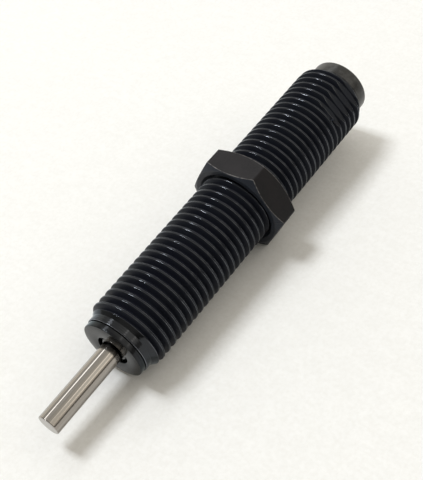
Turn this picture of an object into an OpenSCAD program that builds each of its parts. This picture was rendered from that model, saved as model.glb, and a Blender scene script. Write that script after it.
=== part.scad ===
// Industrial shock absorber with a threaded housing, one lock nut and a plain rod.
// The rod leaves the housing along +X. The origin is the centre of the housing's
// front face, and +Z is up when a flat of the nut rests on a bench.

/* [Housing tube] */
// Outside diameter of the mounting thread
thread_d = 14; // [13.6:0.1:15]
// Pitch of the mounting thread, which sets the depth of its root
thread_pitch = 1.5; // [1:0.25:1.5]
// Length of the housing tube
tube_l = 65.35; // [62:0.05:80]
// Bore of the housing tube
tube_bore_d = 10.2; // [9.6:0.05:10.6]
// Plain neck ahead of the thread
neck_l = 1.2; // [0.5:0.1:3]
// Taper that leads into the thread
lead_in_l = 1.2; // [0.5:0.1:3]
// Height of the ridges that stand for the thread
ridge_h = 0.7; // [0.4:0.05:0.75]
// Place of the first crest, ahead of the lead-in taper's end
thread_start = 0.83; // [0:0.01:1.2]
// Crowned taper behind the thread
run_out_l = 1.45; // [0.5:0.05:3]
// Diameter of the tube's rear edge
tube_end_d = 11.3; // [11.1:0.1:12]
// Distance across the two wrench flats
wrench_af = 12.5; // [11.8:0.1:13.4]
// Length of the wrench flats, from the tube's rear end
wrench_l = 8.7; // [4:0.1:14]
// Angle of the wrench flats round the axis, from +Y towards +Z
wrench_angle = 37; // [0:1:179]

/* [Head and seals] */
// Outside diameter of the head's flange
head_d = 11.68; // [11:0.02:12]
// Thickness of the head's flange, ahead of the tube
head_flange_t = 1.15; // [0.8:0.05:2]
// Length of the head inside the tube
head_shank_l = 6.35; // [5.2:0.05:9]
// Thickness of the lip that covers the wiper
head_lip_t = 1.1; // [0.6:0.1:1.6]
// Height of that lip, from the seal pocket's wall towards the rod
head_lip_h = 0.35; // [0.2:0.05:0.5]
// Radial room for the wiper and the seal round the rod
seal_section = 1.3; // [1.1:0.05:1.6]
// Length of the wiper's body
wiper_l = 1.8; // [1.2:0.1:2.2]
// Depth of the wiper's lip behind the front face
wiper_recess = 0.3; // [0.1:0.05:0.5]
// Length of the rod seal
seal_l = 2.5; // [1.8:0.1:3]
// Thickness of the seal holder's flange
holder_t = 2.8; // [2.2:0.1:4]
// Section diameter of both O-rings
o_ring_section = 0.95; // [0.8:0.05:1.1]

/* [Rod and piston] */
// Diameter of the rod
rod_d = 4; // [3.4:0.1:4.6]
// Reach of the extended rod, ahead of the head
rod_reach = 15.5; // [13:0.5:20]
// Working stroke
stroke = 12; // [6:0.5:12.5]
// Chamfer on the rod's tip
rod_tip_chamfer = 0.15; // [0.05:0.05:0.6]
// Diameter of the rod's rear spigot, which carries the piston
rod_spigot_d = 2.5; // [2.1:0.1:2.9]
// Thickness of the rubber ring that stops the rod's return
stop_ring_t = 1.8; // [1:0.1:3]
// Length of the piston
piston_l = 7; // [6.4:0.1:9]
// Axial width of the piston ring
piston_ring_w = 1; // [0.7:0.1:1.4]
// Radial thickness of the piston ring
piston_ring_t = 0.6; // [0.4:0.05:0.9]
// Diameter of the check valve's ball
check_ball_d = 1.8; // [1.6:0.1:2]
// Diameter of the passage that the ball closes
valve_passage_d = 1.2; // [1:0.1:1.3]
// Travel of the ball off its seat
check_ball_lift = 0.4; // [0.2:0.05:0.6]
// Depth of the ball's seat, ahead of the piston's rear face
valve_seat_depth = 1.2; // [1:0.1:1.6]
// Diameter of the cross holes that feed the passage
cross_hole_d = 0.8; // [0.6:0.1:1]
// Land between the ring groove, the cross holes and the spigot
piston_land = 0.4; // [0.3:0.05:0.6]
// Depth of the piston's relief ahead of the ring, which lets oil reach the cross holes
piston_relief = 0.35; // [0.2:0.05:0.5]

/* [Bush and accumulator] */
// Wall of the bush's sleeve
bush_wall = 1.28; // [1:0.02:1.5]
// Depth of the bush in the seal holder
bush_seat_l = 1; // [0.5:0.1:1.6]
// Length of the accumulator's chamber
accumulator_l = 8.2; // [6:0.1:10]
// Thickness of the bush's flange
bush_flange_t = 1.5; // [1:0.1:2.5]
// Length of the bush inside the pressure tube
bush_spigot_l = 1.5; // [1:0.1:2.5]

/* [Pressure tube and spring] */
// Bore of the pressure tube
cylinder_d = 7; // [6.8:0.1:7.4]
// Wall of the pressure tube
cylinder_wall = 0.8; // [0.6:0.05:0.95]
// Diameter of the metering holes
metering_d = 0.7; // [0.4:0.05:1]
// Number of metering holes along the stroke
metering_count = 5; // [3:1:7]
// Diameter of the four return ports
return_port_d = 1.2; // [0.8:0.1:1.5]
// Thickness of the spring guide's flange
guide_flange_t = 0.8; // [0.6:0.1:1.5]
// Length of the spring guide inside the spring
guide_spigot_l = 2.3; // [1.6:0.1:3]
// Wire diameter of the return spring
spring_wire_d = 0.6; // [0.45:0.05:0.65]
// Mean coil diameter of the return spring
spring_d = 5.4; // [5.2:0.1:5.8]
// Number of turns of the return spring, with its closed ends
spring_turns = 12.75; // [9:0.25:16]

/* [Rear plug] */
// Outside diameter of the plug's flange
plug_d = 11.36; // [10.9:0.02:12]
// Thickness of the plug's flange
plug_flange_t = 2.65; // [2:0.05:4]
// Length of the plug inside the housing tube
plug_shank_l = 5.5; // [4.5:0.1:7]
// Length of the plug inside the pressure tube
plug_spigot_l = 2.8; // [2:0.1:4]
// Diameter of the fill port
fill_port_d = 1.6; // [1.2:0.1:2]
// Diameter of the ball that seals the fill port
seal_ball_d = 2.5; // [2.2:0.1:3]
// Diameter of the fill screw
fill_screw_d = 4; // [3.6:0.1:4.6]
// Length of the fill screw
fill_screw_l = 3.4; // [2.4:0.1:4]
// Distance across the fill screw's hex socket
fill_socket_af = 2; // [1.5:0.1:2.4]
// Depth of the screw's head below the plug's face
fill_screw_recess = 0.3; // [0.1:0.1:0.8]
// Depth of the cup in the screw's front end
fill_screw_cup = 0.35; // [0.2:0.05:0.5]

/* [Lock nut] */
// Distance across the nut's flats
nut_af = 17; // [16.6:0.1:19]
// Thickness of the nut
nut_t = 5; // [3:0.1:8]
// Place of the nut's front face, behind the head's front face
nut_place = 34.2; // [8:0.1:48]
// Depth of the countersinks at the mouths of the nut's bore
nut_countersink = 0.5; // [0.2:0.1:1]

/* [Fits] */
// Radial clearance between pieces that don't move
seat_fit = 0.02; // [0.01:0.01:0.05]
// Radial clearance between pieces that slide
running_fit = 0.02; // [0.01:0.01:0.05]
// Radial clearance of the nut's thread
thread_fit = 0.05; // [0.02:0.01:0.1]
// Gap between the stop ring and the bush with the rod out
stop_gap = 0.1; // [0.05:0.05:0.3]
// Small chamfer that breaks the edges of turned pieces
edge_break = 0.12; // [0.05:0.01:0.2]

/* [Hidden] */
round_fn = 96;
overcut = 0.5;

// Radii that follow from the sizes above
thread_r = thread_d / 2;
crest_half = thread_pitch / 16;
neck_r = thread_r - 0.6134 * thread_pitch - 0.05;
tube_bore_r = tube_bore_d / 2;
inside_r = tube_bore_r - seat_fit;
rod_r = rod_d / 2;
rod_bore_r = rod_r + running_fit;
pocket_r = rod_r + seal_section;
opening_r = pocket_r - head_lip_h;
cylinder_r = cylinder_d / 2;
cylinder_outer_r = cylinder_r + cylinder_wall;
sleeve_r = rod_bore_r + bush_wall;
spigot_r = rod_spigot_d / 2;
passage_r = valve_passage_d / 2;
ring_inner_r = cylinder_r - running_fit - piston_ring_t;
check_ball_r = check_ball_d / 2;
ball_pocket_r = check_ball_r + 0.15;
spring_r = spring_d / 2;
wire_r = spring_wire_d / 2;
o_ring_r = o_ring_section / 2;
o_ring_centre_r = tube_bore_r - running_fit - o_ring_r;
o_ring_floor_r = o_ring_centre_r - o_ring_r - seat_fit;
seal_ball_r = seal_ball_d / 2;
fill_port_r = fill_port_d / 2;
fill_screw_r = fill_screw_d / 2;

// Places along the axis, from the front face to the rear
x_tube_front = -head_flange_t;
x_tube_rear = x_tube_front - tube_l;
x_body_rear = x_tube_rear - plug_flange_t;
x_head_rear = x_tube_front - head_shank_l;
x_wiper_front = -head_lip_t;
x_seal_front = x_wiper_front - wiper_l;
x_seal_rear = x_seal_front - seal_l;
x_holder_rear = x_head_rear - holder_t;
x_bush_front = x_holder_rear + bush_seat_l;
x_bush_flange = x_holder_rear - accumulator_l;
x_cylinder_front = x_bush_flange - bush_flange_t;
x_bush_rear = x_cylinder_front - bush_spigot_l;
x_cylinder_rear = x_tube_rear + plug_shank_l;
x_plug_front = x_cylinder_rear + plug_spigot_l;
x_rod_shoulder = x_bush_rear - stop_gap;
x_piston_front = x_rod_shoulder - stop_ring_t;
x_piston_rear = x_piston_front - piston_l;
x_spring_front = x_piston_rear - guide_flange_t;
x_guide_rear = x_spring_front - guide_spigot_l;
x_nut_front = -nut_place;
x_nut_rear = x_nut_front - nut_t;

// The check ball rests on the sharp rear edge of the piston's passage
x_valve_seat = x_piston_rear + valve_seat_depth;
x_check_ball = x_valve_seat - seat_fit - sqrt(pow(check_ball_r, 2) - pow(passage_r, 2));
x_ball_stop = x_check_ball - check_ball_r - check_ball_lift - seat_fit;
x_ring_rear = x_piston_rear + piston_land;
x_ring_front = x_ring_rear + piston_ring_w;
x_cross_holes = x_ring_front + piston_land + cross_hole_d / 2;
x_spigot_rear = x_cross_holes + cross_hole_d / 2 + piston_land;

// The fill ball rests on the rear edge of the fill port, and the screw holds it there
x_screw_rear = x_body_rear + fill_screw_recess;
x_screw_front = x_screw_rear + fill_screw_l;
x_seal_ball = x_screw_front - fill_screw_cup + seal_ball_r + seat_fit;
x_fill_seat = x_seal_ball + sqrt(pow(seal_ball_r, 2) - pow(fill_port_r, 2)) + seat_fit;

// Revolves an outline of [radius, x] points round the X axis
module turned(outline) {
  rotate([0, 90, 0])
    rotate_extrude($fn = round_fn)
      polygon(outline);
}

// Plain ring from x_front back to x_rear
module ring(x_front, x_rear, outer, inner) {
  turned([[inner, x_front], [outer, x_front], [outer, x_rear], [inner, x_rear]]);
}

// Round bar from x_front back to x_rear
module bar(x_front, x_rear, radius) {
  translate([x_rear, 0, 0])
    rotate([0, 90, 0])
      cylinder(r = radius, h = x_front - x_rear, $fn = round_fn);
}

// Round hole pointing outwards at an angle round the axis, through one wall
module cross_hole(x, radius, reach, angle) {
  translate([x, 0, 0])
    rotate([angle, 0, 0])
      cylinder(r = radius, h = reach, $fn = round_fn);
}

// O-ring round the X axis
module o_ring(x) {
  translate([x, 0, 0])
    rotate([0, 90, 0])
      rotate_extrude($fn = round_fn)
        translate([o_ring_centre_r, 0])
          circle(r = o_ring_r, $fn = round_fn);
}

// Groove for an O-ring, cut into a piece that fills the housing's bore
module o_ring_groove(x) {
  half = o_ring_r + 0.1;
  ring(x + half, x - half, tube_bore_r + overcut, o_ring_floor_r);
}

// Half outline of one thread ridge at a crest's place, whose flanks are arcs about the axis
module ridge(x) {
  flank_run = ridge_h * tan(30);
  foot_half = crest_half + flank_run;
  root_r = thread_r - ridge_h;
  // Each arc passes through its flank's crest edge and foot
  arc_x = (thread_r * thread_r - root_r * root_r - flank_run * flank_run) / (2 * flank_run);
  arc_r = norm([arc_x, thread_r]);
  intersection() {
    translate([0, x + crest_half - arc_x])
      circle(r = arc_r, $fn = round_fn);
    translate([0, x - crest_half + arc_x])
      circle(r = arc_r, $fn = round_fn);
    translate([root_r - overcut, x - foot_half])
      square([ridge_h + overcut, 2 * foot_half]);
  }
}

// Housing tube with neck, thread ridges and two wrench flats
module outer_tube() {
  x_thread_front = x_tube_front - neck_l - lead_in_l;
  x_thread_rear = x_tube_rear + run_out_l;
  root_r = thread_r - ridge_h;
  envelope = [
    [tube_bore_r, x_tube_front],
    [neck_r - edge_break, x_tube_front],
    [neck_r, x_tube_front - edge_break],
    [neck_r, x_tube_front - neck_l],
    [thread_r, x_thread_front],
    [thread_r, x_tube_rear],
    [tube_bore_r, x_tube_rear]
  ];
  // The crown is an arc about the axis through the thread's last edge and the tube's rear edge
  crown_x = (run_out_l * run_out_l + tube_end_d * tube_end_d / 4 - thread_r * thread_r) / (2 * run_out_l);
  crown_r = norm([crown_x, thread_r]);
  color("dimgray")
    difference() {
      rotate([0, 90, 0])
        rotate_extrude($fn = round_fn)
          difference() {
            intersection() {
              polygon(envelope);
              union() {
                translate([tube_bore_r, x_tube_rear])
                  square([root_r - tube_bore_r, tube_l]);
                for (x = [x_thread_front + thread_start : -thread_pitch : x_tube_rear])
                  ridge(x);
              }
            }
            difference() {
              translate([tube_bore_r - overcut, x_tube_rear - overcut])
                square([thread_r + 2 * overcut - tube_bore_r, run_out_l + overcut]);
              translate([0, x_thread_rear - crown_x])
                circle(r = crown_r, $fn = round_fn);
            }
          }
      for (side = [0, 180])
        rotate([wrench_angle + side, 0, 0])
          translate([x_tube_rear - overcut, wrench_af / 2, -thread_r])
            cube([wrench_l + overcut, thread_r, 2 * thread_r]);
    }
}

// Head whose flange closes the tube and whose pocket holds the wiper and the seal
module front_head() {
  flange_r = head_d / 2;
  outline = [
    [opening_r, -edge_break],
    [opening_r + edge_break, 0],
    [flange_r - 2 * edge_break, 0],
    [flange_r, -2 * edge_break],
    [flange_r, x_tube_front + edge_break],
    [flange_r - edge_break, x_tube_front],
    [inside_r, x_tube_front],
    [inside_r, x_head_rear],
    [pocket_r, x_head_rear],
    [pocket_r, x_wiper_front],
    [opening_r, x_wiper_front]
  ];
  color("gray")
    turned(outline);
}

// Wiper with a thin lip that points outwards along the rod
module rod_wiper() {
  root_r = rod_bore_r + 0.3 * seal_section;
  relief_r = rod_bore_r + 0.2 * seal_section;
  outline = [
    [rod_bore_r, -wiper_recess],
    [rod_bore_r + 0.08 * seal_section, -wiper_recess],
    [root_r, x_wiper_front],
    [pocket_r - seat_fit, x_wiper_front],
    [pocket_r - seat_fit, x_seal_front],
    [relief_r, x_seal_front],
    [relief_r, x_wiper_front - wiper_l / 2],
    [rod_bore_r, x_wiper_front - wiper_l / 4]
  ];
  color("black")
    turned(outline);
}

// U-cup seal, open towards the oil
module rod_seal() {
  lip_t = 0.3 * seal_section;
  heel_x = x_seal_front - 0.45 * seal_l;
  outline = [
    [rod_bore_r, x_seal_front],
    [pocket_r - seat_fit, x_seal_front],
    [pocket_r - seat_fit, x_seal_rear],
    [pocket_r - seat_fit - lip_t, x_seal_rear],
    [pocket_r - seat_fit - 1.2 * lip_t, heel_x],
    [rod_bore_r + 1.2 * lip_t, heel_x],
    [rod_bore_r + lip_t, x_seal_rear],
    [rod_bore_r, x_seal_rear]
  ];
  color("darkgreen")
    turned(outline);
}

// Brass holder that backs the seal, carries the O-ring and centres the bush
module seal_holder() {
  x_seat = x_bush_front;
  seat_r = sleeve_r + seat_fit;
  outline = [
    [rod_bore_r, x_seal_rear],
    [pocket_r - seat_fit, x_seal_rear],
    [pocket_r - seat_fit, x_head_rear],
    [inside_r, x_head_rear],
    [inside_r, x_holder_rear],
    [seat_r, x_holder_rear],
    [seat_r, x_seat],
    [rod_bore_r, x_seat]
  ];
  color("goldenrod")
    difference() {
      turned(outline);
      o_ring_groove(x_head_rear - holder_t / 2);
    }
}

// O-ring between the seal holder and the housing tube
module head_o_ring() {
  color("black")
    o_ring(x_head_rear - holder_t / 2);
}

// Bronze bush that guides the rod and closes the pressure tube
module rod_bush() {
  color("peru")
    turned([
      [rod_bore_r, x_bush_front],
      [sleeve_r, x_bush_front],
      [sleeve_r, x_bush_flange],
      [cylinder_outer_r, x_bush_flange],
      [cylinder_outer_r, x_cylinder_front],
      [cylinder_r - seat_fit, x_cylinder_front],
      [cylinder_r - seat_fit, x_bush_rear + edge_break],
      [cylinder_r - seat_fit - edge_break, x_bush_rear],
      [rod_bore_r, x_bush_rear]
    ]);
}

// Closed-cell foam sleeve that takes up the oil which the rod displaces
module accumulator_foam() {
  end_gap = 0.3;
  color("slategray")
    ring(x_holder_rear - end_gap, x_bush_flange + end_gap, tube_bore_r - 0.1, sleeve_r + 0.05);
}

// Pressure tube with metering holes that close one by one along the stroke
module pressure_tube() {
  color("silver")
    difference() {
      ring(x_cylinder_front, x_cylinder_rear, cylinder_outer_r, cylinder_r);
      for (hole = [1:metering_count])
        cross_hole(metering_x(hole), metering_d / 2, cylinder_outer_r + overcut, 72 * hole);
      for (turn = [0:3])
        cross_hole(x_bush_rear - return_port_d, return_port_d / 2,
          cylinder_outer_r + overcut, 90 * turn);
    }
}

// Metering holes stand closer together towards the end of the stroke
function metering_x(hole) =
  x_ring_rear - stroke * (1 - pow(1 - hole / (metering_count + 1), 2));

// Rear plug with the fill port and the seats of the pressure tube and the O-ring
module rear_plug() {
  flange_r = plug_d / 2;
  outline = [
    [0, x_plug_front],
    [cylinder_r - seat_fit - edge_break, x_plug_front],
    [cylinder_r - seat_fit, x_plug_front - edge_break],
    [cylinder_r - seat_fit, x_cylinder_rear],
    [inside_r, x_cylinder_rear],
    [inside_r, x_tube_rear],
    [flange_r - edge_break, x_tube_rear],
    [flange_r, x_tube_rear - edge_break],
    [flange_r, x_body_rear + 2 * edge_break],
    [flange_r - 2 * edge_break, x_body_rear],
    [0, x_body_rear]
  ];
  color("dimgray")
    difference() {
      turned(outline);
      o_ring_groove(x_tube_rear + plug_shank_l / 2);
      bar(x_plug_front + overcut, x_fill_seat - overcut, fill_port_r);
      bar(x_fill_seat, x_screw_front - overcut, seal_ball_r + seat_fit);
      bar(x_screw_front, x_body_rear - overcut, fill_screw_r + seat_fit);
    }
}

// O-ring between the rear plug and the housing tube
module plug_o_ring() {
  color("black")
    o_ring(x_tube_rear + plug_shank_l / 2);
}

// Steel ball that seals the fill port
module seal_ball() {
  color("silver")
    translate([x_seal_ball, 0, 0])
      sphere(r = seal_ball_r, $fn = round_fn);
}

// Set screw with a hex socket and a cup that centres the ball
module fill_screw() {
  socket_l = 0.5 * fill_screw_l;
  chamfer = 0.2;
  cup_r = sqrt(pow(seal_ball_r, 2) - pow(seal_ball_r - fill_screw_cup, 2)) + 2 * seat_fit;
  color("dimgray")
    difference() {
      turned([
        [0, x_screw_front],
        [fill_screw_r - chamfer, x_screw_front],
        [fill_screw_r, x_screw_front - chamfer],
        [fill_screw_r, x_screw_rear + chamfer],
        [fill_screw_r - chamfer, x_screw_rear],
        [0, x_screw_rear]
      ]);
      bar(x_screw_front + overcut, x_screw_front - fill_screw_cup, cup_r);
      translate([x_screw_rear - overcut, 0, 0])
        rotate([0, 90, 0])
          cylinder(d = fill_socket_af / cos(30), h = socket_l + overcut, $fn = 6);
    }
}

// Centre line of the return spring, with half-closed turns at both ends
function spring_point(step, steps, length) =
  let (
    turns = spring_turns * step / steps,
    end_turns = 0.75,
    closed = spring_wire_d * 1.02,
    active = spring_turns - 2 * end_turns,
    active_l = length - spring_wire_d - 2 * closed * end_turns,
    into = min(turns, end_turns),
    middle = min(max(turns - end_turns, 0), active),
    out = max(turns - end_turns - active, 0),
    x = x_spring_front - wire_r - closed * (into + out) - active_l * middle / active,
    angle = 360 * turns
  )
  [x, spring_r * cos(angle), spring_r * sin(angle)];

// Return spring between the guide and the plug, swept along its helix
module return_spring() {
  sides = 8;
  steps = round(16 * spring_turns);
  length = x_spring_front - x_plug_front;
  points = [
    for (step = [0:steps])
      let (
        centre = spring_point(step, steps, length),
        outward = [0, centre[1], centre[2]] / spring_r
      )
      for (side = [0:sides - 1])
        let (angle = 360 * side / sides)
          centre + wire_r * cos(angle) * outward + wire_r * sin(angle) * [1, 0, 0]
  ];
  wall = [
    for (step = [0:steps - 1])
      for (side = [0:sides - 1])
        let (
          next = (side + 1) % sides,
          a = step * sides,
          b = a + sides
        )
        [a + side, a + next, b + next, b + side]
  ];
  first_cap = [[for (side = [sides - 1:-1:0]) side]];
  last_cap = [[for (side = [0:sides - 1]) steps * sides + side]];
  color("lightsteelblue")
    polyhedron(points = points, faces = concat(wall, first_cap, last_cap));
}

// Hardened rod with a spigot for the stop ring and the piston
module piston_rod() {
  color("gainsboro")
    turned([
      [0, rod_reach],
      [rod_r - rod_tip_chamfer, rod_reach],
      [rod_r, rod_reach - rod_tip_chamfer],
      [rod_r, x_rod_shoulder],
      [spigot_r, x_rod_shoulder],
      [spigot_r, x_spigot_rear + edge_break],
      [spigot_r - edge_break, x_spigot_rear],
      [0, x_spigot_rear]
    ]);
}

// Rubber ring that meets the bush when the rod returns
module rod_stop_ring() {
  color("black")
    ring(x_rod_shoulder, x_piston_front, cylinder_r - 0.4, spigot_r + seat_fit);
}

// Piston with the spigot's bore, the cross holes, the passage and the ring groove
module piston_head() {
  piston_r = cylinder_r - 1.5 * running_fit;
  relief_r = piston_r - piston_relief;
  x_relief_rear = x_cross_holes - cross_hole_d / 2;
  color("lightgray")
    difference() {
      turned([
        [0, x_piston_front],
        [relief_r, x_piston_front],
        [relief_r, x_relief_rear],
        [piston_r, x_relief_rear],
        [piston_r, x_piston_rear + edge_break],
        [piston_r - edge_break, x_piston_rear],
        [0, x_piston_rear]
      ]);
      bar(x_piston_front + overcut, x_spigot_rear, spigot_r + seat_fit);
      bar(x_spigot_rear + overcut, x_valve_seat - overcut, passage_r);
      bar(x_valve_seat, x_piston_rear - overcut, ball_pocket_r);
      ring(x_ring_front + seat_fit, x_ring_rear - seat_fit,
        cylinder_r + overcut, ring_inner_r - seat_fit);
      for (turn = [0:3])
        cross_hole(x_cross_holes, cross_hole_d / 2, cylinder_r + overcut, 45 + 90 * turn);
    }
}

// Split ring that seals the piston in the pressure tube
module piston_ring() {
  gap = 0.15;
  color("gray")
    difference() {
      ring(x_ring_front, x_ring_rear, cylinder_r - running_fit, ring_inner_r);
      translate([x_ring_rear - overcut, 0, -gap / 2])
        cube([piston_ring_w + 2 * overcut, cylinder_r, gap]);
    }
}

// Guide that centres the spring and keeps the check ball near its seat
module spring_guide() {
  guide_r = spring_r - wire_r - 0.1;
  slot = 0.6;
  color("lightgray")
    difference() {
      turned([
        [0, x_piston_rear],
        [cylinder_r - 0.3, x_piston_rear],
        [cylinder_r - 0.3, x_spring_front],
        [guide_r, x_spring_front],
        [guide_r, x_guide_rear + 2 * edge_break],
        [guide_r - 2 * edge_break, x_guide_rear],
        [0, x_guide_rear]
      ]);
      bar(x_piston_rear + overcut, x_ball_stop, ball_pocket_r);
      bar(x_piston_rear + overcut, x_guide_rear - overcut, passage_r);
      translate([x_guide_rear - overcut, -ball_pocket_r, -slot / 2])
        cube([x_ball_stop + 0.3 - x_guide_rear + overcut, 2 * ball_pocket_r, slot]);
    }
}

// Ball of the check valve, on its seat
module check_ball() {
  color("silver")
    translate([x_check_ball, 0, 0])
      sphere(r = check_ball_r, $fn = round_fn);
}

// Hexagon nut with both faces chamfered and a countersunk bore
module lock_nut() {
  corner_r = nut_af / 2 / cos(30);
  outer_r = corner_r + overcut;
  face_r = nut_af / 2 - edge_break;
  bore_r = thread_r + thread_fit;
  mouth_r = bore_r + nut_countersink;
  corner_drop = (outer_r - face_r) * tan(30);
  color("darkslategray")
    intersection() {
      translate([x_nut_rear, 0, 0])
        rotate([0, 90, 0])
          rotate([0, 0, 30])
            cylinder(r = corner_r, h = nut_t, $fn = 6);
      turned([
        [mouth_r, x_nut_front],
        [face_r, x_nut_front],
        [outer_r, x_nut_front - corner_drop],
        [outer_r, x_nut_rear + corner_drop],
        [face_r, x_nut_rear],
        [mouth_r, x_nut_rear],
        [bore_r, x_nut_rear + nut_countersink],
        [bore_r, x_nut_front - nut_countersink]
      ]);
    }
}

outer_tube();
front_head();
rod_wiper();
rod_seal();
seal_holder();
head_o_ring();
rod_bush();
accumulator_foam();
pressure_tube();
rear_plug();
plug_o_ring();
seal_ball();
fill_screw();
return_spring();
piston_rod();
rod_stop_ring();
piston_head();
piston_ring();
spring_guide();
check_ball();
lock_nut();
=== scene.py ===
"""Looks of the industrial shock absorber.

The visible turned pieces, the threaded tube and the nut are modelled here with round edges and helical
threads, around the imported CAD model. Lengths are in millimetres until a mesh is made, and places come
from the CAD nodes' boxes. The axis is X, and angles go round it from +Y towards +Z.
"""
import math

import bmesh
import bpy
from mathutils import Matrix, Vector


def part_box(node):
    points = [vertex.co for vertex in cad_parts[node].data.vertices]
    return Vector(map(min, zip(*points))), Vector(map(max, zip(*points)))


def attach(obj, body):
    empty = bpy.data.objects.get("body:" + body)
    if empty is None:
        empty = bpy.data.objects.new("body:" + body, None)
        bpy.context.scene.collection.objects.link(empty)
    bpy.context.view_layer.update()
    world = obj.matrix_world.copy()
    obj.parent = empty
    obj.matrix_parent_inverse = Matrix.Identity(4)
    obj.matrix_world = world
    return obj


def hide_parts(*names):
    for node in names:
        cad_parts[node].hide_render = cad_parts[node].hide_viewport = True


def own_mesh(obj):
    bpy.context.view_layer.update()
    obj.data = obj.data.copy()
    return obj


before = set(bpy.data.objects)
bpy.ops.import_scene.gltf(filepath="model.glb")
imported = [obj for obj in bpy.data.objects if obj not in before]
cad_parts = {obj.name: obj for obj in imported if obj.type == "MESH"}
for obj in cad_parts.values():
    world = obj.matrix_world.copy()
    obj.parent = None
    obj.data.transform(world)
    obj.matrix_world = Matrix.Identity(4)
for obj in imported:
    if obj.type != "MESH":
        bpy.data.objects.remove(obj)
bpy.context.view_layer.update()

MM = 0.001

# Thread of the housing, an M14 x 1.5 right-hand thread
PITCH = 1.5
CREST_HALF = 0.16
FLANK_TAN = math.tan(math.radians(30))
FLANK_DEPTH = 0.5413 * PITCH
ROOT_DEPTH = 0.6134 * PITCH
CREST_ROUND = 0.07
# Depth of the seam that rolling leaves along the crest
CREST_SEAM = 0.02
# Points round a crest's edge: angle from the crest in degrees, and wear
CREST_EDGE = ((0, 0.75), (20, 1.0), (40, 0.9), (60, 0.3))
# Distance from the middle of the root to the rows beside it
ROOT_STEP = 0.09
# Rows of a tooth: one at the front flank's foot, four round each edge, the seam, and four in the root
ROWS_PER_TOOTH = 14
# Place of a crest at angle 0
HELIX_START = -5.95
# First tooth, and the one after the last; both lie beyond the threaded length
TEETH = (-4, 43)
# Clearance between the nut's thread and the housing's
NUT_CLEARANCE = 0.03

# Sizes of the housing that its box doesn't give
NECK_RADIUS = 6.03
NECK_LENGTH = 1.2
LEAD_IN_LENGTH = 1.2
RUN_OUT_LENGTH = 1.45
# Rows of the thread stop this far from the tube's rear face
ROW_END = 0.06 * RUN_OUT_LENGTH
TUBE_END_RADIUS = 5.65
TUBE_BORE_RADIUS = 5.1
# Rounding of the tube's, the head's and the plug's rims
RIM_ROUND = 0.1
WRENCH_HALF = 6.25
WRENCH_LENGTH = 8.7
WRENCH_ANGLE = math.radians(37)

# Tool marks on the neck, behind a plain edge
TOOL_MARK_PITCH = 0.4
TOOL_MARK_DEPTH = 0.010
NECK_EDGE = 0.15
# Wear of the turned neck and tapers, and of the milled wrench flats, where a thread's crest has 1
TURNED_SHEEN = 0.7
FLAT_SHEEN = 0.34

# Sizes of the head, the rod and the plug
OPENING_RADIUS = 2.95
POCKET_RADIUS = 3.3
HEAD_LIP = 1.1
# Groove between the head's flange and the tube
GAP_WIDTH = 0.12
GAP_DEPTH = 0.35
SPIGOT_RADIUS = 1.25
ROD_SHOULDER = -21.6
BAND_RADIUS = 5.68
PILOT_RADIUS = 3.48
GROOVE_FLOOR_RADIUS = 4.11
FILL_PORT_RADIUS = 0.8
SCREW_RADIUS = 2.0
SOCKET_HALF = 1.0
SEAT_FIT = 0.02

# Faces across a fillet
FILLET_STEPS = 4

TURNS = 2 * math.pi


def box_mm(node):
    """Lowest and highest corner of a CAD node, in millimetres."""
    low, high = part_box(node)
    return Vector(low) / MM, Vector(high) / MM


# ---------------------------------------------------------------- meshes

def even_angles(count):
    """Angles spaced evenly round the axis."""
    return [TURNS * step / count for step in range(count)]


def profile(corners):
    """Outline of (x, radius, wear) points from (x, radius[, fillet]) corners, with the fillets as arcs."""
    points = []
    for index, corner in enumerate(corners):
        here = Vector(corner[:2])
        fillet = corner[2] if len(corner) > 2 else 0
        if fillet == 0:
            points.append((here.x, here.y, 0.0))
            continue
        before = (Vector(corners[index - 1][:2]) - here).normalized()
        after = (Vector(corners[index + 1][:2]) - here).normalized()
        half = before.angle(after) / 2
        reach = fillet / math.tan(half)
        centre = here + (before + after).normalized() * fillet / math.sin(half)
        start = here + before * reach - centre
        sweep = start.angle_signed(here + after * reach - centre)
        for step in range(FILLET_STEPS + 1):
            turned = Matrix.Rotation(-sweep * step / FILLET_STEPS, 2) @ start
            spot = centre + turned
            points.append((spot.x, spot.y, 1.0 if 0 < step < FILLET_STEPS else 0.6))
    return points


def finish_mesh(name, mesh, sharp_degrees=38):
    """Object with merged points, outward normals and smooth shading between sharp edges."""
    work = bmesh.new()
    work.from_mesh(mesh)
    bmesh.ops.remove_doubles(work, verts=work.verts, dist=0.0005 * MM)
    bmesh.ops.dissolve_degenerate(work, edges=work.edges, dist=0.0002 * MM)
    bmesh.ops.recalc_face_normals(work, faces=work.faces)
    work.to_mesh(mesh)
    work.free()
    mesh.polygons.foreach_set("use_smooth", [True] * len(mesh.polygons))
    mesh.set_sharp_from_angle(angle=math.radians(sharp_degrees))
    piece = bpy.data.objects.new(name, mesh)
    bpy.context.scene.collection.objects.link(piece)
    weighted = piece.modifiers.new("even_shading", "WEIGHTED_NORMAL")
    weighted.keep_sharp = True
    return piece


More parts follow.
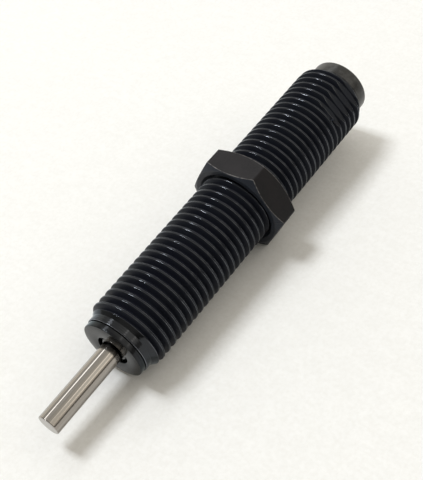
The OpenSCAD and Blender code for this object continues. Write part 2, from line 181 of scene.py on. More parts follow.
def skin(name, column, angles, helix=None, sharp_degrees=38):
    """Surface round the X axis. column(angle) gives (x, radius, wear) points, equally many at each angle.

    helix is (first row, last row, rows in a pitch) of the rows that climb one pitch in a turn.
    """
    columns = [column(angle) for angle in angles]
    rows = len(columns[0])
    points = []
    wear = []
    for angle, line in zip(angles, columns):
        for x, radius, worn in line:
            points.append((x * MM, radius * MM * math.cos(angle), radius * MM * math.sin(angle)))
            wear.append(worn)
    faces = []
    for index in range(len(angles)):
        following = (index + 1) % len(angles)
        last = following == 0
        for row in range(rows - 1):
            shift = 0
            if helix and last and helix[0] <= row < helix[1]:
                shift = helix[2]
                if row - shift < helix[0]:
                    continue
            here = index * rows + row
            there = following * rows + row - shift
            faces.append((here, here + 1, there + 1, there))
    mesh = bpy.data.meshes.new(name)
    mesh.from_pydata(points, [], faces)
    attribute = mesh.attributes.new("wear", "FLOAT", "POINT")
    attribute.data.foreach_set("value", wear)
    return finish_mesh(name, mesh, sharp_degrees)


def lathe(name, corners, count):
    """Turned piece of count sides from an outline of corners, closed on the axis or on itself."""
    outline = profile(corners)
    if outline[0][1] > 0:
        outline.append(outline[0])
    return skin(name, lambda angle: outline, even_angles(count))


def finished(piece, body, material, slot, *nodes):
    """A piece that rides on its body, has its material and stands for its CAD nodes."""
    piece.data.materials.append(material)
    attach(piece, body)
    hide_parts(*nodes)
    return piece


# ---------------------------------------------------------------- threads

def crest_place(angle, tooth):
    """Place of a crest of the housing's thread at an angle."""
    return HELIX_START + PITCH * angle / TURNS - PITCH * tooth


def thread_depth(offset):
    """Depth below the major radius at a distance from a crest's middle."""
    offset = abs(offset)
    if offset <= CREST_HALF:
        return 0.0
    flank = (offset - CREST_HALF) / FLANK_TAN
    if flank <= FLANK_DEPTH:
        return flank
    root_half = PITCH / 2 - CREST_HALF - FLANK_DEPTH * FLANK_TAN
    across = (PITCH / 2 - offset) / root_half
    return ROOT_DEPTH - (ROOT_DEPTH - FLANK_DEPTH) * across ** 2


def housing_envelope(x, angle, tube_low, tube_high):
    """Radius that bounds the housing: tapers at both ends, the thread's crests, and the wrench flats."""
    major = tube_high.y
    front = tube_high.x - NECK_LENGTH
    rear = tube_low.x + RUN_OUT_LENGTH
    radius = min(major, NECK_RADIUS + (front - x) * (major - NECK_RADIUS) / LEAD_IN_LENGTH)
    taper = (major - TUBE_END_RADIUS) / RUN_OUT_LENGTH
    radius = min(radius, major - (rear - x) * taper)
    if x < tube_low.x + WRENCH_LENGTH:
        radius = min(radius, WRENCH_HALF / max(abs(math.cos(angle - WRENCH_ANGLE)), 0.01))
    return radius


def threaded_column(angle, tube_low, tube_high):
    """Points along the housing's thread at an angle, from its first tooth to its last."""
    major = tube_high.y
    front = tube_high.x - NECK_LENGTH
    rear = tube_low.x + ROW_END
    flank_end = CREST_HALF + FLANK_DEPTH * FLANK_TAN

    def sheen(x):
        """Wear of a surface that the envelope cuts: the milled flats are duller than the turned neck."""
        return FLAT_SHEEN if x < tube_low.x + WRENCH_LENGTH else TURNED_SHEEN

    def low_point(x, centre):
        """Point on a flank or a root, which counts as turned smooth where the envelope cuts it off."""
        x = min(max(x, rear), front)
        limit = housing_envelope(x, angle, tube_low, tube_high)
        radius = major - thread_depth(x - centre)
        return (x, radius, 0.0) if radius < limit else (x, limit, sheen(x))

    def crest_edge(centre, side):
        """Distance from the crest's middle to where its flank meets the envelope."""
        half = CREST_HALF
        for _ in range(8):
            limit = housing_envelope(centre + side * half, angle, tube_low, tube_high)
            half = min(CREST_HALF + (major - limit) * FLANK_TAN, flank_end)
        return half

    def rounded_edge(centre, side):
        """Points round a crest's edge, from the crest to the flank."""
        corner = crest_edge(centre, side)
        # A tooth that the envelope cuts low has a sharp edge, as smooth as the cut
        depth = (corner - CREST_HALF) / FLANK_TAN / FLANK_DEPTH
        radius = CREST_ROUND * min(max((1 - depth) / 0.3, 0.0), 1.0)
        faded = min(max((depth - 0.4) / 0.5, 0.0), 1.0)
        edge = []
        for turn, worn in CREST_EDGE:
            turn = math.radians(turn)
            x = centre + side * (corner + radius * (math.sin(turn) - FLANK_TAN))
            x = min(max(x, rear), front)
            limit = housing_envelope(x, angle, tube_low, tube_high)
            edge.append((x, limit - radius * (1 - math.cos(turn)), worn + (sheen(x) - worn) * faded))
        return edge

    points = []
    for tooth in range(*TEETH):
        centre = crest_place(angle, tooth)
        ahead = rounded_edge(centre, 1)
        behind = rounded_edge(centre, -1)
        foot = [(flank_end, centre), (-flank_end, centre), (-PITCH / 2 + ROOT_STEP, centre)]
        foot += [(-PITCH / 2, centre), (-PITCH / 2 - ROOT_STEP, centre - PITCH)]
        low_points = [low_point(centre + offset, crest) for offset, crest in foot]
        x = min(max(centre, rear), front)
        limit = housing_envelope(x, angle, tube_low, tube_high)
        # The seam fades out where the envelope cuts the crest off
        whole = min(max(1 - (major - limit) / 0.2, 0.0), 1.0)
        seam = [(x, limit - CREST_SEAM * whole, sheen(x) * (1 - whole))]
        points += low_points[:1] + ahead[::-1] + seam + behind + low_points[1:]
    return points


def threaded_tube():
    """Housing tube: neck, helical thread with wrench flats, tapered end and bore."""
    low, high = box_mm("outer_tube")
    # Rows of the bore lie this far from each end, and the end's taper starts this far above its rim
    bore_row = 0.3
    taper_rise = 0.07
    neck = profile([
        (high.x - bore_row, TUBE_BORE_RADIUS), (high.x, TUBE_BORE_RADIUS), (high.x, NECK_RADIUS, RIM_ROUND),
        (high.x - NECK_EDGE, NECK_RADIUS)
    ])
    steps = 40
    for step in range(1, steps + 1):
        along = NECK_EDGE + (NECK_LENGTH - NECK_EDGE) * step / steps
        groove = TOOL_MARK_DEPTH * (0.5 + 0.5 * math.cos(TURNS * along / TOOL_MARK_PITCH))
        neck.append((high.x - along, NECK_RADIUS - groove, TURNED_SHEEN))
    end = profile([
        (low.x + ROW_END, TUBE_END_RADIUS + taper_rise), (low.x, TUBE_END_RADIUS, RIM_ROUND),
        (low.x, TUBE_BORE_RADIUS), (low.x + bore_row, TUBE_BORE_RADIUS)
    ])
    bore = [(high.x - bore_row, TUBE_BORE_RADIUS, 0.0)]

    def column(angle):
        return neck + threaded_column(angle, low, high) + end + bore

    first = len(neck)
    last = first + ROWS_PER_TOOTH * (TEETH[1] - TEETH[0]) - 1
    return skin("threaded_tube", column, even_angles(240), (first, last, ROWS_PER_TOOTH), 50)


def hexagon_radius(angle, half_flats, rounding):
    """Distance from the axis to a hexagon's edge, with corners at 0, 60 and so on, rounded a little."""
    sector = math.radians(60)
    from_corner = (angle + sector / 2) % sector - sector / 2
    centre = (half_flats - rounding) / math.cos(math.radians(30))
    straight = half_flats / math.cos(abs(from_corner) - math.radians(30))
    across = centre * math.sin(from_corner)
    if abs(across) < rounding:
        arc = centre * math.cos(from_corner) + math.sqrt(rounding ** 2 - across ** 2)
        tangent = abs(math.atan2(rounding * 0.5, centre + rounding * math.cos(math.radians(30))))
        if abs(from_corner) < tangent:
            return arc
    return straight


def hexagon_angles(steps, rounding_degrees):
    """Angles round a hexagon, with extra ones close to each corner."""
    sector = math.radians(60)
    near = [math.radians(rounding_degrees) * part for part in (-1, -0.5, 0, 0.5, 1)]
    angles = []
    for corner in range(6):
        angles += [corner * sector + turn for turn in near]
        between = near[-1] * 2
        room = sector - 2 * between
        angles += [corner * sector + between + room * step / steps for step in range(steps + 1)]
    return [angle % TURNS for angle in angles if angle >= 0] + [TURNS + near[0], TURNS + near[1]]


def nut_thread_radius(offset, crest):
    """Radius of the nut's thread at a distance from the middle of one of its grooves."""
    major = crest + NUT_CLEARANCE
    minor = crest - FLANK_DEPTH
    drop = max(abs(offset) - CREST_HALF - NUT_CLEARANCE, 0) / FLANK_TAN
    return max(major - drop, minor)


def threaded_nut():
    """Lock nut with chamfered faces, softened edges and a helical thread."""
    low, high = box_mm("lock_nut")
    half_flats = high.z
    crest = box_mm("outer_tube")[1].y
    # Radii of the bore's countersink and of the faces, and the rounding of the edges and the corners
    mouth = crest + 0.55
    face = half_flats - 0.12
    soft = 0.07
    rounding = 0.3
    rim_rows = 10
    subdivisions = 16
    # First groove, and the one after the last; both lie beyond the nut's faces
    teeth = (int((HELIX_START - high.x) / PITCH) - 3, int((HELIX_START - low.x) / PITCH) + 4)

    def rim(x_face, inward, corner):
        """Chamfered edge from the face to the flat, at one end. inward is -1 at the front."""
        drop = (corner - face) * FLANK_TAN
        length = math.hypot(drop, corner - face)
        along = Vector((inward * drop, corner - face)) / length
        near = min(soft, 0.22 * length)
        start = Vector((x_face, face))
        end = start + along * length
        return [
            (x_face, mouth + 0.05, 0.0), (x_face, face - soft * 2, 0.0), (x_face, face - soft, 0.6),
            (*(start + along * near), 0.6), (*(start + along * near * 2), 0.0),
            (*(end - along * near * 2), 0.0), (*(end - along * near), 0.9), (*end, 1.0),
            (end.x + inward * soft, corner, 0.9), (end.x + inward * soft * 2, corner, 0.0)
        ]

    def bore(angle):
        """Points along the helical bore from the rear face to the front face."""
        points = []
        for tooth in range(teeth[1] - 1, teeth[0] - 1, -1):
            centre = crest_place(angle, tooth)
            for step in range(subdivisions):
                offset = PITCH * (step / subdivisions - 0.5)
                x = min(max(centre + offset, low.x), high.x)
                sink = mouth - min(x - low.x, high.x - x)
                radius = max(nut_thread_radius(x - centre, crest), sink)
                points.append((x, radius, 0.0))
        return points

    def column(angle):
        corner = hexagon_radius(angle, half_flats, rounding)
        front = rim(high.x, -1, corner)
        rear = rim(low.x, 1, corner)
        entry = [(high.x, mouth, 0.0)]
        leave = [(low.x, mouth, 0.0)]
        return entry + front + rear[::-1] + leave + bore(angle) + entry

    first = 2 + 2 * rim_rows
    last = first + subdivisions * (teeth[1] - teeth[0]) - 1
    angles = hexagon_angles(34, 1.0)
    return skin("threaded_nut", column, angles, (first, last, -subdivisions), 30)


# ---------------------------------------------------------------- turned pieces

def turned_head():
    """Head with rounded rims, the rod's opening and the pocket of the seals."""
    low, high = box_mm("front_head")
    tube_front = box_mm("outer_tube")[1].x
    radius = high.y
    return lathe("turned_head", [
        (-0.5, OPENING_RADIUS), (0, OPENING_RADIUS, RIM_ROUND), (0, radius, RIM_ROUND),
        (tube_front + GAP_WIDTH, radius, GAP_WIDTH / 2), (tube_front + GAP_WIDTH, radius - GAP_DEPTH),
        (tube_front, radius - GAP_DEPTH),
        (tube_front, TUBE_BORE_RADIUS - SEAT_FIT), (low.x, TUBE_BORE_RADIUS - SEAT_FIT),
        (low.x, POCKET_RADIUS), (-HEAD_LIP, POCKET_RADIUS), (-HEAD_LIP, OPENING_RADIUS)
    ], 192)


def polished_rod():
    """Rod with a softened tip and the spigot that carries the piston."""
    low, high = box_mm("piston_rod")
    tip_round = 0.13
    spigot_round = 0.12
    return lathe("polished_rod", [
        (high.x, 0), (high.x, high.y - 0.5), (high.x, high.y, tip_round), (ROD_SHOULDER, high.y),
        (ROD_SHOULDER, SPIGOT_RADIUS), (low.x, SPIGOT_RADIUS, spigot_round), (low.x, 0)
    ], 160)


def wiper_ring():
    """Wiper whose lip stands round the rod in the head's opening."""
    low, high = box_mm("rod_wiper")
    rod = box_mm("piston_rod")[1].y + SEAT_FIT
    outer = high.y
    # Thickness of the lip at its front and its root, and the room that the heel leaves round the rod
    lip_front = 0.34
    lip_root = 0.45
    heel_room = 0.26
    return lathe("wiper_ring", [
        (-HEAD_LIP, rod), (high.x, rod, 0.03), (high.x, rod + lip_front, 0.12),
        (-HEAD_LIP, rod + lip_root, 0.1), (-HEAD_LIP, outer), (low.x, outer), (low.x, rod + heel_room),
        (-HEAD_LIP - 2 * lip_root, rod + heel_room), (-HEAD_LIP - lip_root, rod)
    ], 128)


def fill_screw():
    """Set screw with its hex socket, seen in the plug's rear face."""
    low, high = box_mm("fill_screw")
    depth = 0.5 * (high.x - low.x)
    radius = high.y
    chamfer = 0.2
    cup_radius = 0.9
    cup_floor = high.x - 0.35
    socket_mouth = 1.25

    def column(angle):
        socket = hexagon_radius(angle, SOCKET_HALF, 0.03)
        return [
            (cup_floor, 0, 0), (cup_floor, cup_radius, 0), (high.x, cup_radius, 0),
            (high.x, radius - chamfer, 0), (high.x - chamfer, radius, 0), (low.x + chamfer, radius, 0.5),
            (low.x + 0.02, radius - chamfer, 1.0), (low.x, radius - chamfer - 0.05, 0.6),
            (low.x, socket_mouth, 0), (low.x + 0.12, socket, 0.8), (low.x + 0.18, socket, 0),
            (low.x + depth, socket, 0), (low.x + depth + 0.3, 0, 0)
        ]

    return skin("socket_screw", column, hexagon_angles(16, 2.0), None, 30)


def rear_plug():
    """Plug whose flange is the plain band behind the thread, with the fill screw's hole."""
    low, high = box_mm("rear_plug")
    tube_rear = box_mm("outer_tube")[0].x
    cylinder_rear = box_mm("pressure_tube")[0].x
    screw_front = box_mm("fill_screw")[1].x
    seat_front = screw_front + 1.9
    inside = TUBE_BORE_RADIUS - SEAT_FIT
    ball = box_mm("seal_ball")[1].y + SEAT_FIT
    hole = SCREW_RADIUS + SEAT_FIT
    groove_rear, groove_front = (corner.x for corner in box_mm("plug_o_ring"))
    groove_rear -= 0.1
    groove_front += 0.1
    return lathe("flanged_plug", [
        (high.x, FILL_PORT_RADIUS), (high.x, PILOT_RADIUS, 0.12), (cylinder_rear, PILOT_RADIUS),
        (cylinder_rear, inside, RIM_ROUND), (groove_front, inside), (groove_front, GROOVE_FLOOR_RADIUS),
        (groove_rear, GROOVE_FLOOR_RADIUS), (groove_rear, inside), (tube_rear, inside),
        (tube_rear, BAND_RADIUS, RIM_ROUND), (low.x, BAND_RADIUS, 0.3), (low.x, hole, 0.15),
        (screw_front, hole), (screw_front, ball), (seat_front, ball), (seat_front, FILL_PORT_RADIUS)
    ], 192)


def coiled_spring():
    """Return spring as a round wire with half-closed end turns."""
    low, high = box_mm("return_spring")
    wire = 0.3
    coil = high.y - wire
    turns = 12.75
    closed_turns = 0.75
    # The end turns lie just clear of each other
    closed_pitch = 2 * wire * 1.02
    active_turns = turns - 2 * closed_turns
    active_length = high.x - low.x - 2 * wire - 2 * closed_turns * closed_pitch
    steps = 24
    sides = 12

    def centre(turn):
        into = min(turn, closed_turns)
        middle = min(max(turn - closed_turns, 0), active_turns)
        out = max(turn - closed_turns - active_turns, 0)
        x = high.x - wire - closed_pitch * (into + out) - active_length * middle / active_turns
        angle = TURNS * turn
        return Vector((x, coil * math.cos(angle), coil * math.sin(angle)))

    points = []
    total = int(steps * turns)
    for step in range(total + 1):
        turn = turns * step / total
        spot = centre(turn)
        outward = Vector((0, spot.y, spot.z)).normalized()
        for side in range(sides):
            angle = TURNS * side / sides
            ring = outward * math.cos(angle) + Vector((1, 0, 0)) * math.sin(angle)
            points.append((spot + ring * wire) * MM)
    faces = []
    for step in range(total):
        for side in range(sides):
            here = step * sides + side
            beside = step * sides + (side + 1) % sides
            faces.append((here, beside, beside + sides, here + sides))
    faces.append(tuple(range(sides)))
    faces.append(tuple(range(total * sides, (total + 1) * sides)))
    mesh = bpy.data.meshes.new("coiled_spring")
    mesh.from_pydata(points, [], faces)
    return finish_mesh("coiled_spring", mesh)


# ---------------------------------------------------------------- materials

class Nodes:
    """A node tree with short calls for the nodes used here."""

    def __init__(self, tree):
        self.tree = tree

    def node(self, kind, **settings):
        """New node with its settings; a setting that names an input sets the input."""
        made = self.tree.nodes.new(kind)
        for key, value in settings.items():
            if key in made.inputs:
                self.feed(made.inputs[key], value)
            else:
                setattr(made, key, value)
        return made

    def feed(self, socket, value):
        """Links an output to a socket, or sets the socket's own value."""
        if isinstance(value, bpy.types.NodeSocket):
            self.tree.links.new(value, socket)
        else:
            socket.default_value = value

    def range(self, value, low, high, to_low, to_high):
        """Value moved from one range to another."""
        made = self.node("ShaderNodeMapRange")
        self.tree.links.new(value, made.inputs["Value"])
        limits = (("From Min", low), ("From Max", high), ("To Min", to_low), ("To Max", to_high))
        for key, number in limits:
            made.inputs[key].default_value = number
        return made.outputs["Result"]

    def math(self, operation, first, second):
        """Result of a Math node."""
        made = self.node("ShaderNodeMath", operation=operation)
        self.feed(made.inputs[0], first)
        self.feed(made.inputs[1], second)
        return made.outputs["Value"]


class Shader(Nodes):
    """A material's node tree, with textures in object coordinates."""

    def __init__(self, name):
        self.material = bpy.data.materials.new(name)
        self.material.use_nodes = True
        super().__init__(self.material.node_tree)
        self.principled = self.tree.nodes["Principled BSDF"]
        self.place = self.node("ShaderNodeTexCoord").outputs["Object"]

    def scaled(self, x, y, z):
        """Object coordinates stretched by three factors."""
        mapping = self.node("ShaderNodeMapping")
        mapping.inputs["Scale"].default_value = (x, y, z)
        self.tree.links.new(self.place, mapping.inputs["Vector"])
        return mapping.outputs["Vector"]

    def noise(self, scale, detail=3.0, roughness=0.5, place=None):
        """Noise with a grain of about 1 / scale metres."""
        made = self.node("ShaderNodeTexNoise", Scale=scale, Detail=detail, Roughness=roughness)
        self.tree.links.new(place or self.place, made.inputs["Vector"])
        return made.outputs["Fac"]

    def tool_marks(self):
        """Fine uneven grooves round the axis, as a turning tool leaves them."""
        return self.noise(1.0, 3, 0.7, self.scaled(4500, 160, 160))

    def mix(self, factor, first, second, kind="RGBA"):
        """Colour between two colours, or with kind FLOAT, number between two numbers."""
        made = self.node("ShaderNodeMix", data_type=kind)
        self.feed(made.inputs["Factor"], factor)
        self.feed(made.inputs["A"], first)
        self.feed(made.inputs["B"], second)
        return made.outputs["Result"]

    def rings(self, spacing, bands=False, distortion=0.0):
        """Tool marks: rings round the axis on a face, or bands along it, spaced in millimetres."""
        scale = TURNS / (20 * spacing * MM)
        made = self.node("ShaderNodeTexWave", Scale=scale, Distortion=distortion, Detail=2.0)
        made.wave_type = "BANDS" if bands else "RINGS"
        made.bands_direction = "X"
        made.rings_direction = "X"
        self.tree.links.new(self.place, made.inputs["Vector"])
        return made.outputs["Fac"]

    def bump(self, height, depth, strength=1.0, onto=None):
        """Bump of a depth in millimetres."""
        made = self.node("ShaderNodeBump", Strength=strength, Distance=depth * MM)
        self.tree.links.new(height, made.inputs["Height"])
        if onto:
            self.tree.links.new(onto, made.inputs["Normal"])
        return made.outputs["Normal"]

    def wear(self):
        """How worn a point is, 0 to 1, as stored in the mesh."""
        return self.node("ShaderNodeAttribute", attribute_name="wear").outputs["Fac"]

    def facing_x(self):
        """How far a surface faces along the axis, 0 to 1."""
        split = self.node("ShaderNodeSeparateXYZ")
        self.tree.links.new(self.node("ShaderNodeTexCoord").outputs["Normal"], split.inputs["Vector"])
        return self.math("ABSOLUTE", split.outputs["X"], 0.0)

    def set(self, **inputs):
        """Feeds the shader's sockets, with underscores for spaces."""
        for key, value in inputs.items():
            self.feed(self.principled.inputs[key.replace("_", " ")], value)
        return self.material


def grey(level, red=1.0, green=1.0, blue=1.0):
    """Linear grey with a tint."""
    return (level * red, level * green, level * blue, 1.0)


def black_oxide_thread():
    """Oiled black oxide: blue-black and dull on the flanks, smooth and glossy on the crests and the neck."""
    s = Shader("black_oxide_thread")
    blotch = s.noise(260, 4, 0.6)
    marks = s.tool_marks()
    grain = s.noise(5200, 3, 0.6)
    smooth = s.range(s.wear(), 0.2, 0.65, 0, 1)
    crest = s.range(s.wear(), 0.7, 1.0, 0, 1)
    # Crests are rubbed bright in patches, between the tool's marks
    rubbed = s.range(s.noise(1300, 4, 0.7), 0.3, 0.62, 0.45, 1)
    worn = s.math("MULTIPLY", s.math("MULTIPLY", crest, rubbed), s.range(marks, 0.35, 0.62, 0.35, 1))
    patch = s.range(blotch, 0.35, 0.7, 0, 1)
    dark = s.mix(patch, grey(0.0110, 0.90, 1.02, 1.6), grey(0.0150, 0.92, 1.04, 1.45))
    rolled = s.mix(worn, grey(0.036, 0.94, 1.0, 1.16), grey(0.32, 0.96, 1.0, 1.10))
    turned = s.mix(crest, grey(0.040, 0.95, 1.0, 1.10), rolled)
    dull = s.range(blotch, 0.3, 0.75, 0.36, 0.44)
    polish = s.range(s.noise(900, 3, 0.6), 0.3, 0.7, 0.08, 0.2)
    return s.set(
        Base_Color=s.mix(smooth, dark, turned), Metallic=s.math("MULTIPLY", smooth, 0.9),
        Roughness=s.mix(smooth, dull, polish, "FLOAT"),
        Normal=s.bump(marks, 0.012, 0.8, s.bump(grain, 0.003, 0.6)),
        Specular_IOR_Level=0.09, Specular_Tint=(0.88, 0.94, 1.0, 1.0)
    )


def satin_head_face():
    """Blackened steel: a lapped front face that mirrors its surroundings, and a turned side."""
    s = Shader("satin_head_face")
    patch = s.range(s.noise(420, 4, 0.6), 0.3, 0.7, 0, 1)
    marks = s.tool_marks()
    facing = s.range(s.facing_x(), 0.5, 0.95, 0, 1)
    aside = s.range(facing, 0.0, 1.0, 1, 0)
    face = s.mix(patch, grey(0.006, 0.85, 1.0, 1.2), grey(0.009, 0.9, 1.0, 1.15))
    cut = s.range(marks, 0.35, 0.62, 0, 1)
    side = s.mix(cut, grey(0.022, 0.94, 1.0, 1.12), grey(0.032, 0.96, 1.0, 1.08))
    side_roughness = s.range(marks, 0.3, 0.7, 0.1, 0.2)
    face_roughness = s.range(patch, 0.0, 1.0, 0.08, 0.13)
    turned = s.bump(s.math("MULTIPLY", marks, aside), 0.010, 0.8)
    return s.set(
        Base_Color=s.mix(facing, side, face), Metallic=s.math("MULTIPLY", aside, 0.9),
        Roughness=s.mix(facing, side_roughness, face_roughness, "FLOAT"),
        Normal=s.bump(s.rings(0.11, distortion=1.2), 0.0006, 0.5, turned),
        Specular_IOR_Level=0.14, Specular_Tint=(0.86, 0.95, 1.0, 1.0)
    )


def nut_finish():
    """Matt charcoal oxide: brownish flats, blue-black turned faces painted lighter as fill light, fine
    grain, and bright worn edges.
    """
    s = Shader("nut_finish")
    cloud = s.noise(330, 4, 0.6)
    grain = s.noise(4200, 4, 0.7)
    patch = s.range(cloud, 0.35, 0.7, 0, 1)
    flats = s.mix(patch, grey(0.0070, 1.14, 1.0, 1.08), grey(0.0040, 1.0, 1.0, 1.15))
    # The turned faces are blue-black, and painted lighter than that finish: painted fill light for faces
    # that lie in shade
    faces = s.mix(patch, grey(0.034, 0.8, 1.0, 1.4), grey(0.026, 0.85, 1.0, 1.35))
    colour = s.mix(s.range(s.facing_x(), 0.3, 0.6, 0, 1), flats, faces)
    speckle = s.range(grain, 0.4, 0.75, 0, 0.4)
    colour = s.mix(speckle, colour, grey(0.016, 1.08, 1.0, 1.02))
    chips = s.range(s.noise(1500, 5, 0.75), 0.42, 0.66, 0.1, 1.0)
    worn = s.math("MULTIPLY", s.range(s.wear(), 0.55, 1.0, 0, 0.85), chips)
    return s.set(
        Base_Color=s.mix(worn, colour, grey(0.34, 1.0, 0.97, 0.94)),
        Metallic=s.math("MULTIPLY", worn, 0.9), Roughness=s.range(cloud, 0.3, 0.7, 0.38, 0.5),
        Normal=s.bump(grain, 0.010, 0.8), Specular_IOR_Level=0.20, Specular_Tint=(0.97, 0.94, 1.0, 1.0)
    )


def plug_finish():
    """Dull olive-brown oxide of the plug, rubbed lighter in patches."""
    s = Shader("plug_finish")
    cloud = s.noise(520, 5, 0.65)
    patch = s.range(cloud, 0.35, 0.65, 0, 1)
    colour = s.mix(patch, grey(0.011, 1.1, 1.04, 0.98), grey(0.021, 1.1, 1.04, 0.96))
    worn = s.math("MULTIPLY", s.wear(), s.range(cloud, 0.4, 0.6, 0.1, 0.8))
    grain = s.bump(s.noise(2600, 4, 0.6), 0.008, 0.6)
    marks = s.rings(0.09, bands=True, distortion=0.8)
    return s.set(
        Base_Color=s.mix(worn, colour, grey(0.09)), Roughness=s.range(cloud, 0.3, 0.7, 0.28, 0.4),
        Normal=s.bump(marks, 0.0012, 0.5, grain), Specular_IOR_Level=0.35
    )


def polished_chrome():
    """Hard steel rod, polished along its length, with lengthwise streaks and a turned tip."""
    s = Shader("polished_chrome")
    streaks = s.noise(1.0, 4, 0.65, s.scaled(40, 2400, 2400))
    broad = s.noise(1.0, 2, 0.5, s.scaled(25, 700, 700))
    bright = s.range(streaks, 0.35, 0.7, 0, 1)
    colour = s.mix(bright, grey(0.32, 1.0, 0.93, 0.86), grey(0.41, 1.0, 0.95, 0.89))
    colour = s.mix(s.range(broad, 0.45, 0.7, 0, 0.5), colour, grey(0.28, 1.0, 0.88, 0.76))
    marks = s.rings(0.16, distortion=0.6)
    return s.set(
        Base_Color=colour, Metallic=1.0, Roughness=s.range(streaks, 0.3, 0.7, 0.07, 0.16),
        Normal=s.bump(marks, 0.0006, 0.35, s.bump(streaks, 0.0018, 0.5))
    )


def plain_metal(name, colour, roughness):
    """Machined metal of an inner piece."""
    s = Shader(name)
    cloud = s.noise(900, 4, 0.6)
    darker = tuple(channel * 0.72 for channel in colour[:3]) + (1.0,)
    marks = s.rings(0.12, bands=True, distortion=0.7)
    return s.set(
        Base_Color=s.mix(s.range(cloud, 0.3, 0.7, 0, 1), colour, darker), Metallic=1.0,
        Roughness=s.range(cloud, 0.3, 0.7, roughness, roughness + 0.15), Normal=s.bump(marks, 0.0015, 0.5)
    )


def moulded_rubber(name, colour, roughness):
    """Moulded rubber with a fine grain."""
    s = Shader(name)
    grain = s.noise(3800, 3, 0.6)
    lighter = tuple(channel * 1.6 + 0.004 for channel in colour[:3]) + (1.0,)
    return s.set(
        Base_Color=s.mix(s.range(grain, 0.35, 0.7, 0, 0.6), colour, lighter),
        Roughness=s.range(grain, 0.3, 0.7, roughness, roughness + 0.12), Normal=s.bump(grain, 0.006, 0.7)
    )


def cellular_foam():
    """Closed-cell foam with small pits."""
    s = Shader("cellular_foam")
    cells = s.node("ShaderNodeTexVoronoi", Scale=2600.0)
    s.tree.links.new(s.place, cells.inputs["Vector"])
    depth = cells.outputs["Distance"]
    # The pits are painted darker as well as bumped in: painted shade
    return s.set(
        Base_Color=s.mix(s.range(depth, 0.1, 0.6, 0, 1), grey(0.03), grey(0.11)), Roughness=0.9,
        Normal=s.bump(depth, 0.06, 0.8)
    )


def pale_floor():
    """Off-white board with a fine mottled grain."""
    s = Shader("pale_floor")
    grain = s.noise(1500, 3, 0.6)
    streaks = s.noise(1.0, 4, 0.7, s.scaled(700, 260, 300))
    cloud = s.noise(28, 3, 0.5)
    streak = s.range(streaks, 0.35, 0.7, 0, 1)
    colour = s.mix(streak, grey(0.93, 1.0, 0.997, 0.99), grey(0.89, 1.0, 0.996, 0.985))
    colour = s.mix(s.range(cloud, 0.4, 0.7, 0, 0.25), colour, grey(0.88, 1.0, 0.99, 0.97))
    colour = s.mix(s.range(grain, 0.4, 0.7, 0, 0.5), colour, grey(0.83, 1.0, 0.99, 0.965))
    normal = s.bump(grain, 0.05, 0.5, s.bump(streaks, 0.05, 0.35))
    return s.set(Base_Color=colour, Roughness=0.75, Normal=normal, Specular_IOR_Level=0.2)


# ---------------------------------------------------------------- stage

def stand(name, data, place, side, up, away):
    """Object of a camera or a lamp at a place. It looks against the direction away."""
    made = bpy.data.objects.new(name, data)
    made.matrix_world = Matrix((side, up, away)).transposed().to_4x4()
    made.matrix_world.translation = place
    bpy.context.scene.collection.objects.link(made)
    return made


def camera():
    """Camera above the rod's end, turned a little about its own view, as in the reference view."""
    data = bpy.data.cameras.new("camera")
    data.lens = 69.31
    data.sensor_width = 36
    data.clip_start = 0.005
    data.clip_end = 20
    eye = Vector((43.09, 79.97, 118.46)) * MM
    right = Vector((-0.5845, 0.7895, -0.1871))
    back = Vector((0.4370, 0.5006, 0.7473))
    up = back.cross(right).normalized()
    right = up.cross(back).normalized()
    bpy.context.scene.camera = stand("camera", data, eye, right, up, back.normalized())


def area_lamp(name, place, aim, size, power, colour):
    """Rectangular lamp at a place, aimed at a point, with the size's first length along X."""
    data = bpy.data.lights.new(name, "AREA")
    data.shape = "RECTANGLE"
    data.size, data.size_y = size
    data.energy = power
    data.color = colour
    away = (Vector(place) - Vector(aim)).normalized()
    side = (Vector((1, 0, 0)) - away * away.x).normalized()
    stand(name, data, Vector(place), side, away.cross(side), away)


def lights():
    """Lamp high on the -Y side, a long dim strip beside it, two weak warm lamps opposite, and a room."""
    middle = (-0.02, 0, 0)
    area_lamp("overhead_lamp", (-0.02, -0.62, 1.37), middle, (0.26, 0.46), 11.2, (0.93, 0.97, 1.0))
    area_lamp("long_strip", (-0.70, -0.76, 1.22), (-0.1, 0, 0), (1.5, 0.24), 3.4, (0.96, 0.97, 0.97))
    area_lamp("side_lamp", (-0.52, 0.94, 0.54), middle, (0.6, 0.1), 0.26, (1.0, 0.92, 0.8))
    area_lamp("upper_side_lamp", (-0.52, 0.54, 0.93), middle, (0.6, 0.1), 0.27, (1.0, 0.93, 0.85))
    world = bpy.data.worlds.new("studio")
    bpy.context.scene.world = world
    world.use_nodes = True
    w = Nodes(world.node_tree)
    split = w.node("ShaderNodeSeparateXYZ")
    w.feed(split.inputs["Vector"], w.node("ShaderNodeTexCoord").outputs["Generated"])
    # Dark skyline, bright walls and a dimmer ceiling. On the -Y side the skyline is bright too
    room = w.node("ShaderNodeValToRGB")
    ramp = room.color_ramp
    ramp.elements[0].color = grey(0.2, 1.0, 0.95, 0.86)
    ramp.elements[1].color = grey(0.48, 1.0, 0.96, 0.88)
    for place, level in ((0.19, 0.22), (0.33, 0.84), (0.84, 0.84), (0.95, 0.52)):
        ramp.elements.new(place).color = grey(level, 1.0, 0.955, 0.85)
    lift = w.range(split.outputs["Y"], -0.35, 0.0, 0.45, 0.0)
    w.feed(room.inputs["Fac"], w.math("ADD", split.outputs["Z"], lift))
    # The room is darker on the side that the rod points to
    shade = w.tree.nodes["Background"]
    w.feed(shade.inputs["Color"], room.outputs["Color"])
    w.feed(shade.inputs["Strength"], w.range(split.outputs["X"], -0.15, 0.4, 1.25, 0.35))


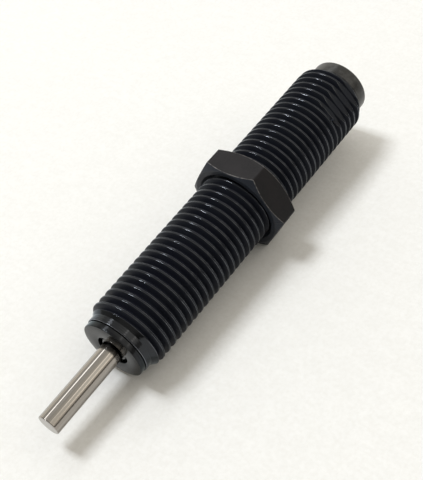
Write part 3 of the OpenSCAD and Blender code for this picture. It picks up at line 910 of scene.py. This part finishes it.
def floor():
    """Wide pale floor, on which the nut's edge and the thread's front end rest."""
    nut_low, nut_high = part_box("lock_nut")
    tube_low, tube_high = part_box("outer_tube")
    nut_foot = Vector((nut_high[0], 0, nut_low[2]))
    front_foot = Vector((tube_high[0] - (NECK_LENGTH + LEAD_IN_LENGTH) * MM, 0, tube_low[2]))
    along = (front_foot - nut_foot).normalized()
    reach = 3.0
    ahead = along * reach
    aside = Vector((0, reach, 0))
    corners = [nut_foot - ahead - aside, nut_foot + ahead - aside, nut_foot + ahead + aside,
               nut_foot - ahead + aside]
    mesh = bpy.data.meshes.new("floor")
    mesh.from_pydata(corners, [], [(0, 1, 2, 3)])
    made = bpy.data.objects.new("floor", mesh)
    bpy.context.scene.collection.objects.link(made)
    made.data.materials.append(pale_floor())


# ---------------------------------------------------------------- build

def dress(material, *nodes):
    """Gives CAD nodes that stay a material."""
    for node in nodes:
        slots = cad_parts[node].data.materials
        slots.clear()
        slots.append(material)


def build():
    """Makes the pieces, dresses the inner nodes and sets the stage."""
    camera()
    finished(threaded_tube(), "housing", black_oxide_thread(), "black_oxide", "outer_tube")
    finished(turned_head(), "housing", satin_head_face(), "satin_head", "front_head")
    finished(threaded_nut(), "nut", nut_finish(), "nut_oxide", "lock_nut")
    finished(rear_plug(), "housing", plug_finish(), "olive_plug", "rear_plug")
    finished(polished_rod(), "rod", polished_chrome(), "hard_chrome", "piston_rod")
    black_rubber = moulded_rubber("black_rubber", grey(0.03), 0.4)
    grey_rubber = moulded_rubber("grey_rubber", grey(0.075, 0.95, 1.0, 1.05), 0.22)
    finished(wiper_ring(), "housing", grey_rubber, "black_rubber", "rod_wiper")
    black_screw = plain_metal("black_screw", grey(0.05), 0.35)
    finished(fill_screw(), "housing", black_screw, "black_screw", "fill_screw")
    wire = plain_metal("drawn_wire", grey(0.45, 0.98, 1.0, 1.04), 0.28)
    spring = finished(coiled_spring(), "housing", wire, "spring_steel", "return_spring")
    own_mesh(spring)
    steel = plain_metal("bright_steel", grey(0.6), 0.25)
    dress(steel, "pressure_tube", "piston_head", "spring_guide", "check_ball", "seal_ball")
    dress(wire, "piston_ring")
    dress(plain_metal("turned_brass", (0.72, 0.50, 0.22, 1), 0.25), "seal_holder")
    dress(plain_metal("turned_bronze", (0.56, 0.34, 0.17, 1), 0.3), "rod_bush")
    dress(black_rubber, "head_o_ring", "plug_o_ring", "rod_stop_ring")
    dress(moulded_rubber("seal_rubber", grey(0.06, 0.6, 1.2, 0.8), 0.35), "rod_seal")
    dress(cellular_foam(), "accumulator_foam")
    floor()
    lights()
    bpy.context.scene.view_settings.view_transform = "Standard"


build()

bpy.context.view_layer.update()
